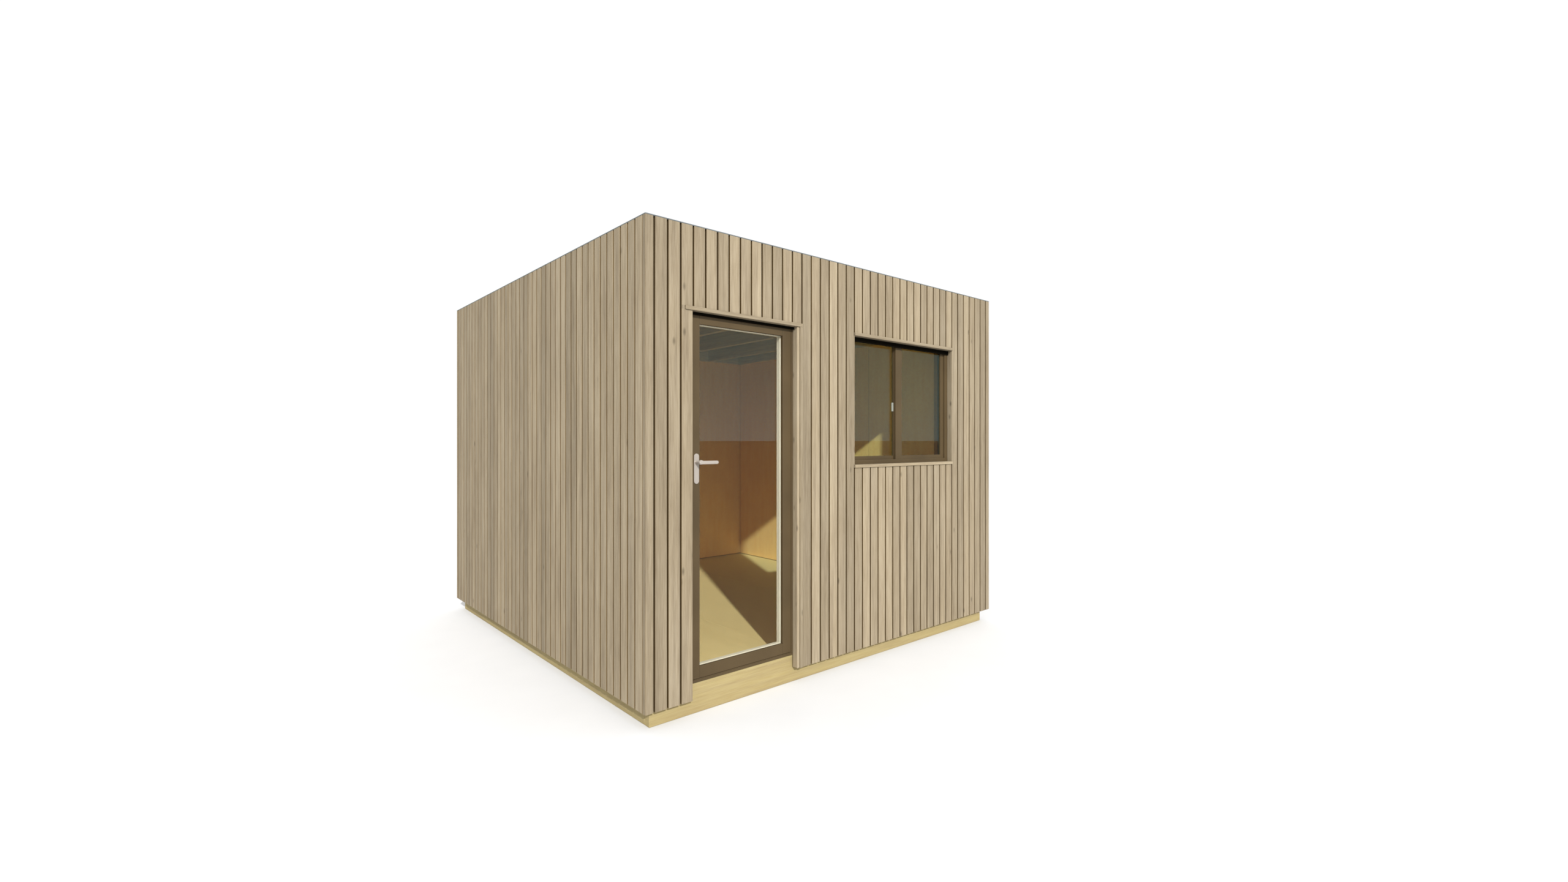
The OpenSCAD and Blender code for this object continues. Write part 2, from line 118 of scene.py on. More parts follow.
# %% From mesh to piece
def piece(name, bm, finishes, body, replaces=()):
    """Turns a bmesh into a piece of the object that rides on a body."""
    mesh = bpy.data.meshes.new(name)
    bm.to_mesh(mesh)
    bm.free()
    for finish in finishes:
        mesh.materials.append(finish)
    obj = bpy.data.objects.new(name, mesh)
    bpy.context.scene.collection.objects.link(obj)
    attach(obj, body)
    if replaces:
        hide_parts(*replaces)
    print(name, len(mesh.polygons), "faces")


# %% [markdown]
# A finish is judged by how it looks in the studio. The light below puts more than plain white light on the
# building, so a finish that should look like a given colour is mixed darker by that share. The colour is
# also turned from the screen's scale to the scale of light, because the shaders reckon in light.

# %% Colours under the studio's light
LIGHT_LEVEL = 1.94


def linear(value):
    """A screen value from 0 to 255 on the scale of light."""
    share = value / 255
    return share / 12.92 if share <= 0.04045 else ((share + 0.055) / 1.055) ** 2.4


def looks(red, green, blue):
    """The paint that looks like this screen colour under the studio's light."""
    return (*(linear(c) / LIGHT_LEVEL for c in (red, green, blue)), 1)


print("paper white is mixed as", [round(c, 3) for c in looks(255, 255, 255)])

# %% [markdown]
# Finishes are mixed as node trees. The nodes could be placed one by one, but the same few serve every
# finish, so small helpers add a node, set its sockets by name and link it.

# %% Helpers for finishes
def new_finish(name):
    mat = bpy.data.materials.new(name)
    mat.use_nodes = True
    return mat, mat.node_tree, mat.node_tree.nodes["Principled BSDF"]


def add(tree, kind, **values):
    """Adds a node and sets its sockets by name, with _ for a space."""
    node = tree.nodes.new(kind)
    for name, value in values.items():
        node.inputs[name.replace("_", " ")].default_value = value
    return node


def feed(tree, socket, value):
    """Sets a socket to a plain value, or links an output to it."""
    if isinstance(value, (int, float, tuple)):
        socket.default_value = value
    else:
        tree.links.new(value, socket)


# %% [markdown]
# Four kinds of nodes do nearly all of the mixing: sums, ranges, blends of two colours, and bumps. Each gets
# a helper, so that a finish reads like a recipe. Sums and blends take plain values or other nodes' outputs.

# %% Sums, ranges, blends and bumps
COLOUR_A, COLOUR_B, COLOUR_RESULT = 6, 7, 2


def math_node(tree, operation, first, second):
    node = tree.nodes.new("ShaderNodeMath")
    node.operation = operation
    feed(tree, node.inputs[0], first)
    feed(tree, node.inputs[1], second)
    return node.outputs[0]


def spread(tree, value, low, high, to_low, to_high):
    """Maps a value from one range to another, clamped."""
    node = add(tree, "ShaderNodeMapRange", From_Min=low, From_Max=high, To_Min=to_low, To_Max=to_high)
    tree.links.new(value, node.inputs["Value"])
    return node.outputs["Result"]


def mix_colour(tree, share, first, second):
    node = tree.nodes.new("ShaderNodeMix")
    node.data_type = "RGBA"
    feed(tree, node.inputs[0], share)
    feed(tree, node.inputs[COLOUR_A], first)
    feed(tree, node.inputs[COLOUR_B], second)
    return node.outputs[COLOUR_RESULT]


def bump(tree, bsdf, height, strength, distance):
    node = add(tree, "ShaderNodeBump", Strength=strength, Distance=distance)
    tree.links.new(height, node.inputs["Height"])
    tree.links.new(node.outputs["Normal"], bsdf.inputs["Normal"])


# %% [markdown]
# The figure of wood is a noise drawn out along the board: the coordinates are squeezed that way, so that
# round spots become streaks. A shift moves the pattern, so that no two boards need look alike.

# %% Grain
def object_place(tree):
    return tree.nodes.new("ShaderNodeTexCoord").outputs["Object"]


def drawn_out(tree, along, stretch, shift=None):
    """Places on the object, squeezed along one axis and shifted."""
    scale = [1.0, 1.0, 1.0]
    scale[along] = stretch
    node = add(tree, "ShaderNodeMapping", Scale=scale)
    tree.links.new(object_place(tree), node.inputs["Vector"])
    if shift is not None:
        tree.links.new(shift, node.inputs["Location"])
    return node.outputs["Vector"]


def noise(tree, vector, **values):
    node = add(tree, "ShaderNodeTexNoise", **values)
    tree.links.new(vector, node.inputs["Vector"])
    return node.outputs["Fac"]


# %% [markdown]
# Knots are dark spots where a branch grew. A cell pattern gives a spot in every cell, and only the cells
# whose random colour is high enough are used, so the share of knots can be set for each finish.

# %% Knots
KNOT_CELLS = 17.0
KNOT_CORE, KNOT_RIM = 0.04, 0.20
KNOT_STRENGTH = 0.62


def knot_share(tree, vector, knots):
    """How deep a place lies in a knot. knots is the share of cells that have one."""
    cells = add(tree, "ShaderNodeTexVoronoi", Scale=KNOT_CELLS)
    tree.links.new(vector, cells.inputs["Vector"])
    near = spread(tree, cells.outputs["Distance"], KNOT_CORE, KNOT_RIM, 1.0, 0.0)
    pick = tree.nodes.new("ShaderNodeSeparateColor")
    tree.links.new(cells.outputs["Color"], pick.inputs["Color"])
    chosen = math_node(tree, "GREATER_THAN", pick.outputs["Red"], 1.0 - knots)
    return math_node(tree, "MULTIPLY", math_node(tree, "MULTIPLY", near, chosen), KNOT_STRENGTH)


# %% [markdown]
# Softwood shows long fibres, softer bands between the growth rings and patches of weather. A picture of wood
# could be wrapped round the boards, but mixed noises never repeat and run on round every edge.

# %% Fibres, bands and weather
STREAK_STRETCH, PATCH_STRETCH = 0.035, 0.40
FIBRE_SCALE, BAND_SCALE, PATCH_SCALE = 260.0, 46.0, 3.0
FIBRE_SHARE, BAND_SHARE, WEATHER_SHARE = 0.40, 0.40, 0.20


def wood_grain(tree, along, shift):
    """Fibres, bands, and the grain that both make with the patches of weather."""
    streaks = drawn_out(tree, along, STREAK_STRETCH, shift)
    fibre = noise(tree, streaks, Scale=FIBRE_SCALE, Detail=4.0, Roughness=0.6)
    bands = noise(tree, streaks, Scale=BAND_SCALE, Detail=3.0, Roughness=0.55)
    patches = drawn_out(tree, along, PATCH_STRETCH, shift)
    weather = noise(tree, patches, Scale=PATCH_SCALE, Detail=2.0, Roughness=0.55)
    grain = math_node(tree, "MULTIPLY", fibre, FIBRE_SHARE)
    grain = math_node(tree, "ADD", grain, math_node(tree, "MULTIPLY", bands, BAND_SHARE))
    grain = math_node(tree, "ADD", grain, math_node(tree, "MULTIPLY", weather, WEATHER_SHARE))
    return fibre, bands, grain


# %% [markdown]
# A timber finish lays the grain over three tones of colour and adds the knots. The board number shifts the
# pattern, and it also makes each board a little paler or darker, so one finish serves a whole wall.

# %% Timber
BOARD_SHIFT = 23.0
BOARD_TONE = 0.15
GRAIN_DARK, GRAIN_MID, GRAIN_PALE = 0.34, 0.50, 0.66
GRAIN_BUMP, GRAIN_DEPTH = 0.25, 0.0012
NOISE_LOW, NOISE_HIGH = 0.3, 0.7
KNOT_STRETCH, KNOT_SHADE = 0.45, 0.35
FADED, RICH = 0.94, 1.06
TIMBER_SHINE = 0.25
TIMBER_ROUGH = 0.66, 0.88


def timber(name, dark, mid, pale, along, knots=0.07):
    mat, tree, bsdf = new_finish(name)
    bsdf.inputs["Specular IOR Level"].default_value = TIMBER_SHINE
    link = tree.links.new
    board = tree.nodes.new("ShaderNodeAttribute")
    board.attribute_name = "board"
    shift = math_node(tree, "MULTIPLY", board.outputs["Fac"], BOARD_SHIFT)
    fibre, bands, grain = wood_grain(tree, along, shift)
    ramp = tree.nodes.new("ShaderNodeValToRGB")
    stops = ramp.color_ramp.elements
    stops[0].position, stops[0].color = GRAIN_DARK, dark
    stops[1].position, stops[1].color = GRAIN_PALE, pale
    stops.new(GRAIN_MID).color = mid
    link(grain, ramp.inputs["Fac"])

    knot = knot_share(tree, drawn_out(tree, along, KNOT_STRETCH, shift), knots)
    knot_colour = (*(KNOT_SHADE * c for c in dark[:3]), 1)
    knotted = mix_colour(tree, knot, ramp.outputs["Color"], knot_colour)
    shade = tree.nodes.new("ShaderNodeHueSaturation")
    tone = spread(tree, board.outputs["Fac"], 0, 1, 1 - BOARD_TONE, 1 + BOARD_TONE)
    link(tone, shade.inputs["Value"])
    link(spread(tree, bands, NOISE_LOW, NOISE_HIGH, FADED, RICH), shade.inputs["Saturation"])
    link(knotted, shade.inputs["Color"])
    link(shade.outputs["Color"], bsdf.inputs["Base Color"])
    link(spread(tree, fibre, NOISE_LOW, NOISE_HIGH, *TIMBER_ROUGH), bsdf.inputs["Roughness"])
    bump(tree, bsdf, grain, GRAIN_BUMP, GRAIN_DEPTH)
    return mat


# %% [markdown]
# Each group of boards gets its own dark, middle and pale tone, and the direction in which its boards run.
# The slats are greyed by the weather, the rim is yellow, and the battens are stained dark. The joint-shade
# tones are painted shade: a darker copy of the slat tones for the sides of the slats deep in the joints.

# %% Timber finishes
SLAT_TONES = looks(157, 137, 106), looks(187, 169, 139), looks(209, 193, 165)
JOINT_SHADE_TONES = looks(98, 77, 43), looks(122, 98, 60), looks(140, 116, 78)
BOARD_TONES = looks(164, 144, 112), looks(194, 176, 145), looks(213, 197, 169)
BASE_TONES = looks(192, 167, 112), looks(209, 188, 133), looks(222, 204, 152)
ROOF_TONES = (0.56, 0.42, 0.22, 1), (0.70, 0.55, 0.32, 1), (0.80, 0.67, 0.42, 1)
STAIN_TONES = looks(52, 40, 26), looks(64, 50, 32), looks(78, 62, 42)

slat_timber = timber("slat_timber", *SLAT_TONES, along=Z)
trim_timber = timber("trim_timber", *SLAT_TONES, along=X, knots=0.08)
slat_side_painted_shade = timber("slat_side_painted_shade", *JOINT_SHADE_TONES, along=Z)
knotty_timber = timber("knotty_timber", *SLAT_TONES, along=Z, knots=0.95)
upright_timber = timber("upright_timber", *BOARD_TONES, along=Z, knots=0.90)
base_timber = timber("base_timber", *BASE_TONES, along=X)
side_base_timber = timber("side_base_timber", *BASE_TONES, along=Y)
joist_timber = timber("joist_timber", *ROOF_TONES, along=Y)
joist_block_timber = timber("joist_block_timber", *ROOF_TONES, along=X)
batten_timber = timber("batten_timber", *STAIN_TONES, along=X, knots=0.0)
side_batten_timber = timber("side_batten_timber", *STAIN_TONES, along=Y, knots=0.0)
print("timber finishes", len([m for m in bpy.data.materials if "timber" in m.name]))

# %% [markdown]
# Sheet goods are plainer than boards: the floor and the lining are pale chip and veneer sheets with a soft
# figure. A noise drawn out along the sheet gives the veneer, and a cell pattern adds small flakes.

# %% Sheets
VENEER_STRETCH = 0.12
VENEER_SCALE = 22.0
FLAKES_PER_METRE = 70.0
FIGURE_LOW, FIGURE_HIGH = 0.25, 0.75
ROUGH_LOW, ROUGH_HIGH = 0.2, 0.8
SHEET_ROUGH = 0.55, 0.75
SHEET_BUMP, SHEET_DEPTH = 0.08, 0.0008


def sheet_wood(name, dark, pale, along, flakes=0.25):
    mat, tree, bsdf = new_finish(name)
    link = tree.links.new
    veneer = drawn_out(tree, along, VENEER_STRETCH)
    figure = noise(tree, veneer, Scale=VENEER_SCALE, Detail=4.0, Distortion=0.6)
    chips = add(tree, "ShaderNodeTexVoronoi", Scale=FLAKES_PER_METRE)
    link(object_place(tree), chips.inputs["Vector"])
    chip_tone = tree.nodes.new("ShaderNodeSeparateColor")
    link(chips.outputs["Color"], chip_tone.inputs["Color"])
    share = math_node(tree, "MULTIPLY", figure, 1.0 - flakes)
    share = math_node(tree, "ADD", share, math_node(tree, "MULTIPLY", chip_tone.outputs["Green"], flakes))
    colour = mix_colour(tree, spread(tree, share, FIGURE_LOW, FIGURE_HIGH, 0, 1), dark, pale)
    link(colour, bsdf.inputs["Base Color"])
    link(spread(tree, share, ROUGH_LOW, ROUGH_HIGH, *SHEET_ROUGH), bsdf.inputs["Roughness"])
    bump(tree, bsdf, share, SHEET_BUMP, SHEET_DEPTH)
    return mat


floor_sheet = sheet_wood("floor_sheet", (0.755, 0.62, 0.27, 1), (0.80, 0.66, 0.30, 1), along=Y)
wall_sheet = sheet_wood("wall_sheet", (0.92, 0.575, 0.21, 1), (0.97, 0.665, 0.26, 1), along=Z)
# The reveal finish is painted shade: a dark red-brown for the depths of the openings and the wall core in
# the joints.
reveal_painted_shade = sheet_wood("reveal_painted_shade", (0.24, 0.100, 0.006, 1), (0.31, 0.140, 0.012, 1), along=Z)
roof_board = sheet_wood("roof_board", (0.22, 0.19, 0.12, 1), (0.34, 0.30, 0.20, 1), along=X, flakes=0.6)
print("sheet finishes", [m.name for m in (floor_sheet, wall_sheet, reveal_painted_shade, roof_board)])

# %% [markdown]
# Paint, moulded plastic, rubber and coated metal differ in colour, shine and the size of their texture.
# Two noises serve all: a broad one varies the colour a little, and a fine one the shine and the surface.

# %% Paint, rubber and metal
BROAD_SCALE = 3.5
SMOOTHER, ROUGHER = 0.06, 0.08
COAT_DEPTH = 0.0004


def coated(name, colour, vary=0.12, rough=0.45, metallic=0.0, scale=420.0, strength=0.06, shine=0.5):
    """A painted, moulded or powder-coated surface with a fine texture."""
    mat, tree, bsdf = new_finish(name)
    bsdf.inputs["Specular IOR Level"].default_value = shine
    bsdf.inputs["Metallic"].default_value = metallic
    fine = noise(tree, object_place(tree), Scale=scale, Detail=3.0)
    broad = noise(tree, object_place(tree), Scale=BROAD_SCALE, Detail=3.0)
    darker = (*(c * (1 - vary) for c in colour[:3]), 1)
    paler = (*(min(1, c * (1 + vary)) for c in colour[:3]), 1)
    share = spread(tree, broad, NOISE_LOW, NOISE_HIGH, 0, 1)
    tree.links.new(mix_colour(tree, share, darker, paler), bsdf.inputs["Base Color"])
    roughness = spread(tree, fine, NOISE_LOW, NOISE_HIGH, rough - SMOOTHER, rough + ROUGHER)
    tree.links.new(roughness, bsdf.inputs["Roughness"])
    bump(tree, bsdf, fine, strength, COAT_DEPTH)
    return mat


membrane = coated("membrane", looks(58, 46, 32), rough=0.8, shine=0.2)
brown_coat = coated("brown_coat", looks(109, 90, 61), rough=0.50, shine=0.25)
pale_coat = coated("pale_coat", (0.66, 0.62, 0.48, 1), vary=0.05, rough=0.40)
capping_metal = coated("capping_metal", looks(150, 156, 158), vary=0.06, rough=0.40, metallic=0.3)
roof_rubber = coated("roof_rubber", looks(74, 76, 78), vary=0.18, rough=0.75, scale=90.0, strength=0.2)
satin_metal = coated("satin_metal", looks(232, 219, 205), vary=0.04, rough=0.32, metallic=0.25)
hinge_steel = coated("hinge_steel", (0.50, 0.49, 0.47, 1), vary=0.05, rough=0.30, metallic=0.9)
latch_white = coated("latch_white", looks(182, 186, 172), vary=0.03, rough=0.38)
print("finishes so far", len(bpy.data.materials))

# %% [markdown]
# Glass could be made with refraction, but then the sun would need many light paths to reach the room. A
# thin pane hardly bends light, so a see-through shader mixed with a little mirror does the same at once.

# %% Glass
MIRROR_TINT = (0.95, 0.97, 1.0, 1)
SLANT_MIRROR = 0.15
SLANT_POWER = 4.0


def clear_glass(name, tint, mirror):
    """Thin glass: nearly all light goes straight through, and a little is mirrored, more at a slant."""
    mat, tree, bsdf = new_finish(name)
    tree.nodes.remove(bsdf)
    through = add(tree, "ShaderNodeBsdfTransparent", Color=tint)
    gloss = add(tree, "ShaderNodeBsdfGlossy", Color=MIRROR_TINT, Roughness=0.0)
    slant = add(tree, "ShaderNodeLayerWeight", Blend=0.5)
    share = math_node(tree, "POWER", slant.outputs["Facing"], SLANT_POWER)
    share = math_node(tree, "ADD", math_node(tree, "MULTIPLY", share, SLANT_MIRROR), mirror)
    mix = tree.nodes.new("ShaderNodeMixShader")
    tree.links.new(share, mix.inputs["Fac"])
    tree.links.new(through.outputs["BSDF"], mix.inputs[1])
    tree.links.new(gloss.outputs["BSDF"], mix.inputs[2])
    tree.links.new(mix.outputs["Shader"], tree.nodes["Material Output"].inputs["Surface"])
    return mat


door_pane = clear_glass("door_pane", (1.0, 1.0, 0.995, 1), mirror=0.025)
window_pane = clear_glass("window_pane", (0.92, 0.985, 0.945, 1), mirror=0.045)
print("finishes", len(bpy.data.materials))

# %% [markdown]
# The cladding is what one sees first: vertical slats with a narrow open joint between them, cut short over
# and under the openings. In the model each stretch of wall is one slab. Here real slats are laid in its
# place. An array modifier could repeat one slat, but the first and last slats are narrower and each should
# have its own tone, so the two edges of every slat are worked out first.

# %% Places of the slats
SLAT_PITCH = 0.075
SLAT_GAP = 0.009


def slat_runs(first_gap, low, high):
    """The ends of each slat from low to high, with a gap at every pitch from first_gap."""
    runs = []
    start, gap = low, first_gap
    while gap < high:
        if gap - SLAT_GAP / 2 > start:
            runs.append((start, gap - SLAT_GAP / 2))
        start = max(start, gap + SLAT_GAP / 2)
        gap += SLAT_PITCH
    if high > start:
        runs.append((start, high))
    return runs


print("slat width", round(SLAT_PITCH - SLAT_GAP, 4))

# %% [markdown]
# The sides of a slat in the joints get painted shade: a darker copy of its finish stands in for the shade
# deep in the narrow joints. The sides at the corners of the building are weathered like the face, and keep
# its finish.

# %% Sides in the joints
PLAIN, SHADED_SIDE, KNOTTY = 0, 1, 2
SQUARE_ON = 0.9
CORNER_MARGIN = 1e-4


def paint_joint_shade(faces, axis, low, high):
    """Gives the sides of a slat that face a joint painted shade, a darker copy of the slat finish."""
    for face in faces:
        face.normal_update()
        place = face.calc_center_median()[axis]
        if abs(face.normal[axis]) > SQUARE_ON and low + CORNER_MARGIN < place < high - CORNER_MARGIN:
            face.material_index = SHADED_SIDE


# %% [markdown]
# The front is laid stretch by stretch round the openings. The slat beside the door is notched round the end
# of the board over it, so it is laid in three lengths. Only the long edges are rounded, which keeps a slat
# at a few faces, and each slat stands back by its own hair's breadth, as nailed boards do.

# %% Front and back slats
LOW_SIDE, HIGH_SIDE = -1, 1
FIRST_GAP = 0.050
SLAT_ROUND = 0.003
SLAT_PLAY = 0.0006


def front_or_back_slats(name, node, side):
    """Slats on the front (the low side) or the back (the high side)."""
    low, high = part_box(node)
    head_low, head_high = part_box("door_trim_head")
    bm = new_mesh()
    for left, right in slat_runs(cad_low.x + FIRST_GAP, low.x, high.x):
        play = draw.uniform(0, SLAT_PLAY)
        front, back = (low.y + play, high.y) if side == LOW_SIDE else (low.y, high.y - play)
        lengths, finish = [(low.z, high.z, right)], PLAIN
        if node == "cladding_front_left" and right > head_low.x:
            finish = KNOTTY
            lengths = [
                (low.z, head_low.z, right),
                (head_low.z, head_high.z, head_low.x),
                (head_high.z, high.z, right),
            ]
        for bottom, top, end in lengths:
            corners = (left, front, bottom), (end, back, top)
            faces = block(bm, *corners, SLAT_ROUND, axes=(Z,), finish=finish)
            paint_joint_shade(faces, X, cad_low.x, cad_high.x)
    piece(name, bm, [slat_timber, slat_side_painted_shade, knotty_timber], "building", [node])


for stretch in ("front_left", "front_middle", "front_right", "over_door", "over_window", "under_window"):
    front_or_back_slats("slats_" + stretch, "cladding_" + stretch, LOW_SIDE)
front_or_back_slats("slats_back", "cladding_back", HIGH_SIDE)

# %% [markdown]
# The sides have no openings, so each slat there is one length from the base to the top, and they start with
# a whole one at the front corner. The loop is the one for the front with the two axes changed over.

# %% Side slats
def side_slats(name, node, side):
    """Slats on the left (the low side) or the right (the high side)."""
    low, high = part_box(node)
    bm = new_mesh()
    for front, back in slat_runs(low.y + SLAT_PITCH, low.y, high.y):
        play = draw.uniform(0, SLAT_PLAY)
        left, right = (low.x + play, high.x) if side == LOW_SIDE else (low.x, high.x - play)
        faces = block(bm, (left, front, low.z), (right, back, high.z), SLAT_ROUND, axes=(Z,))
        paint_joint_shade(faces, Y, cad_low.y, cad_high.y)
    piece(name, bm, [slat_timber, slat_side_painted_shade], "building", [node])


side_slats("slats_left", "cladding_left", LOW_SIDE)
side_slats("slats_right", "cladding_right", HIGH_SIDE)

# %% [markdown]
# On the room side the walls are lined with pale sheets of one width, with fine joints between them. A joint
# could be drawn as a dark line in the finish; here real gaps take their shadow from the light, and the core
# and the sheet edges in them also get painted shade, so the lines read darker. At the corners and along the
# floor the sheets stop a little short.

# %% Lining sheets
SHEET_WIDTH = 1.22
SHEET_JOINT = 0.002
SHEET_ROUND = 0.0008
CORNER_JOINT = 0.006
FOOT_JOINT = 0.006
OUTSIDE, LINED, PAINTED_SHADE = 0, 1, 2


def lining_sheets(bm, axis, low, high):
    """A row of sheets on a wall across an axis."""
    along = X if axis == Y else Y
    end_joint = CORNER_JOINT if axis == X else 0
    foot_joint = FOOT_JOINT if low.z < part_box("floor_deck")[1].z + FOOT_JOINT else 0
    count = math.ceil((high[along] - low[along]) / SHEET_WIDTH)
    width = (high[along] - low[along]) / count
    for i in range(count):
        a, b = low.copy(), high.copy()
        a.z += foot_joint
        a[along] = low[along] + i * width + (SHEET_JOINT / 2 if i else end_joint)
        b[along] = low[along] + (i + 1) * width - (SHEET_JOINT / 2 if i < count - 1 else end_joint)
        block(bm, a, b, SHEET_ROUND, segments=1, finish=LINED)


# %% [markdown]
# Behind the slats lie dark battens and a dark membrane, which, with the painted shade on the sides of the
# slats, is why the open joints read as dark lines. Each wall is rebuilt as its core, with the membrane on
# the outer face, and its row of sheets. Core and sheets could be two pieces, but one piece with three
# finishes keeps a wall together. The edges that show in the depth of the door and window openings, and the
# core and sheet edges that show in the sheet joints, get painted shade: a dark finish where shade would
# fall.

# %% Walls
LINING = 0.012
SLANTED = 0.5


def wall(node, axis, outward):
    """A wall across an axis, with its outer face on the low or the high side."""
    low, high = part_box(node)
    core_low, core_high = low.copy(), high.copy()
    sheet_low, sheet_high = low.copy(), high.copy()
    if outward == LOW_SIDE:
        core_high[axis] = sheet_low[axis] = high[axis] - LINING
    else:
        core_low[axis] = sheet_high[axis] = low[axis] + LINING
    bm = new_mesh()
    block(bm, core_low, core_high, edge=0, finish=PAINTED_SHADE)
    lining_sheets(bm, axis, sheet_low, sheet_high)
    bm.normal_update()
    for face in bm.faces:
        facing = face.normal[axis] * outward
        if facing > SQUARE_ON:
            face.material_index = OUTSIDE
        elif facing > -SLANTED:
            face.material_index = PAINTED_SHADE
    finishes = [membrane, wall_sheet, reveal_painted_shade]
    piece(node + "_panel", bm, finishes, "building", [node])


for part in ("left", "middle", "right", "under_window", "header"):
    wall("front_wall_" + part, Y, LOW_SIDE)
wall("back_wall", Y, HIGH_SIDE)
wall("left_wall", X, LOW_SIDE)
wall("right_wall", X, HIGH_SIDE)

# %% [markdown]
# The battens are seen only as dark stripes in the joints, so their solids stay as they are and just get a
# finish. This helper serves every solid that is shown as it was built.

# %% Battens
def coat(nodes, finish):
    """Gives solids of the model a finish."""
    for name in nodes:
        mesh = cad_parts[name].data
        mesh.materials.clear()
        mesh.materials.append(finish)
    print(finish.name, "on", *nodes)


coat(["battens_front", "battens_back"], batten_timber)
coat(["battens_left", "battens_right"], side_batten_timber)

# %% [markdown]
# The studio stands on a rim of yellow treated timber, a little inside the cladding. The floor is laid in
# wide sheets on joists. Under the door the edge of the floor shows above the rim. The solids already have
# the right size, so a board is a box in the same place, with a bevel that catches the light on its edges.

# %% Base and floor
RIM_ROUND = 0.003
FLOOR_SHEETS = 3
FLOOR_JOINT = 0.001
FLOOR_ROUND = 0.0003
FLOOR_EDGE = 1


def boards(name, nodes, finishes, edge):
    """One bevelled board in the place of each solid."""
    bm = new_mesh()
    for node in nodes:
        block(bm, *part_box(node), edge)
    piece(name, bm, finishes, "building", nodes)


for side, finish in (
    ("front", base_timber), ("back", base_timber), ("left", side_base_timber), ("right", side_base_timber)
):
    boards("rim_" + side, ["base_" + side], [finish], RIM_ROUND)

floor_low, floor_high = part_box("floor_deck")
sheet_step = (floor_high.x - floor_low.x) / FLOOR_SHEETS
bm = new_mesh()
for i in range(FLOOR_SHEETS):
    a, b = floor_low.copy(), floor_high.copy()
    a.x = floor_low.x + i * sheet_step + (FLOOR_JOINT / 2 if i else 0)
    b.x = floor_low.x + (i + 1) * sheet_step - (FLOOR_JOINT / 2 if i < FLOOR_SHEETS - 1 else 0)
    for face in block(bm, a, b, FLOOR_ROUND, segments=1):
        face.normal_update()
        if face.normal.y < -SLANTED:
            face.material_index = FLOOR_EDGE
piece("floor_sheets", bm, [floor_sheet, base_timber], "building", ["floor_deck"])
coat(["floor_joists"], side_base_timber)

# %% [markdown]
# The flat roof is a rubber sheet laid like a tray: it runs up the inside of the parapet and under a metal
# capping. A hollow could be cut into a block, but a box without its lid takes fewer steps: its foot is
# rounded, and then its faces are given a thickness.

# %% Roof sheet
TRAY_CANT = 0.030

sheet_low, sheet_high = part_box("roof_sheet")
capping_low, capping_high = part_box("roof_capping")
bm = new_mesh()
tray_faces = block(bm, sheet_low, (sheet_high.x, sheet_high.y, capping_low.z), edge=0)
lid = [f for f in tray_faces if f.calc_center_median().z > capping_low.z - HAIR]
bmesh.ops.delete(bm, geom=lid, context="FACES_ONLY")
foot = [e for e in bm.edges if all(v.co.z < sheet_low.z + HAIR for v in e.verts)]
bmesh.ops.bevel(
    bm, geom=foot, offset=TRAY_CANT, offset_type="OFFSET", affect="EDGES",
    segments=4, profile=0.5, material=-1,
)
bmesh.ops.recalc_face_normals(bm, faces=bm.faces)
bmesh.ops.solidify(bm, geom=bm.faces[:], thickness=sheet_high.z - sheet_low.z)
tray_box = [max(v.co.z for v in bm.verts), max(v.co.x for v in bm.verts), min(v.co.z for v in bm.verts)]
print("roof tray reaches", [round(x, 4) for x in tray_box])
piece("roof_tray", bm, [roof_rubber], "building", ["roof_sheet"])

# %% [markdown]
# The capping is folded from sheet metal. One ring could be cut from a plate, but four strips show the fine
# joints at the corners, where the side strips stop short of the front and back ones.

# %% Capping
CAPPING_ROUND = 0.0015
CAPPING_JOINT = 0.002

wall_in = sheet_low.x - capping_low.x
bm = new_mesh()
for front, back in ((capping_low.y, capping_low.y + wall_in), (capping_high.y - wall_in, capping_high.y)):
    block(bm, (capping_low.x, front, capping_low.z), (capping_high.x, back, capping_high.z), CAPPING_ROUND)
side_ends = capping_low.y + wall_in + CAPPING_JOINT, capping_high.y - wall_in - CAPPING_JOINT
for left, right in ((capping_low.x, capping_low.x + wall_in), (capping_high.x - wall_in, capping_high.x)):
    block(bm, (left, side_ends[0], capping_low.z), (right, side_ends[1], capping_high.z), CAPPING_ROUND)
piece("capping_strips", bm, [capping_metal], "building", ["roof_capping"])
coat(["roof_joists"], joist_timber)
coat(["roof_deck"], roof_board)

# %% [markdown]
# The rim of the deck is carried too: an edge joist lies along each side wall, and short blocks fill the
# spaces between the joists at the front and the back. The joists are solids of the model, and all of these
# are measured from them, so they fit whatever its size.

# %% Edge joists and blocks
JOIST_PITCH = 0.520
JOIST_WIDTH = 0.045
JOIST_ROUND = 0.002
ACROSS = 1

deck_low, deck_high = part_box("roof_deck")
joists_low, joists_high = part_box("roof_joists")
joist_count = 1 + round((joists_high.x - joists_low.x - JOIST_WIDTH) / JOIST_PITCH)
edge_lefts = deck_low.x, deck_high.x - JOIST_WIDTH
joist_lefts = [edge_lefts[0], *(joists_low.x + i * JOIST_PITCH for i in range(joist_count)), edge_lefts[1]]
bm = new_mesh()
for left in edge_lefts:
    block(
        bm, (left, deck_low.y, joists_low.z), (left + JOIST_WIDTH, deck_high.y, joists_high.z), JOIST_ROUND
    )
for left, right in zip(joist_lefts, joist_lefts[1:]):
    for front in (deck_low.y, deck_high.y - JOIST_WIDTH):
        block(
            bm, (left + JOIST_WIDTH, front, joists_low.z), (right, front + JOIST_WIDTH, joists_high.z),
            JOIST_ROUND, finish=ACROSS,
        )
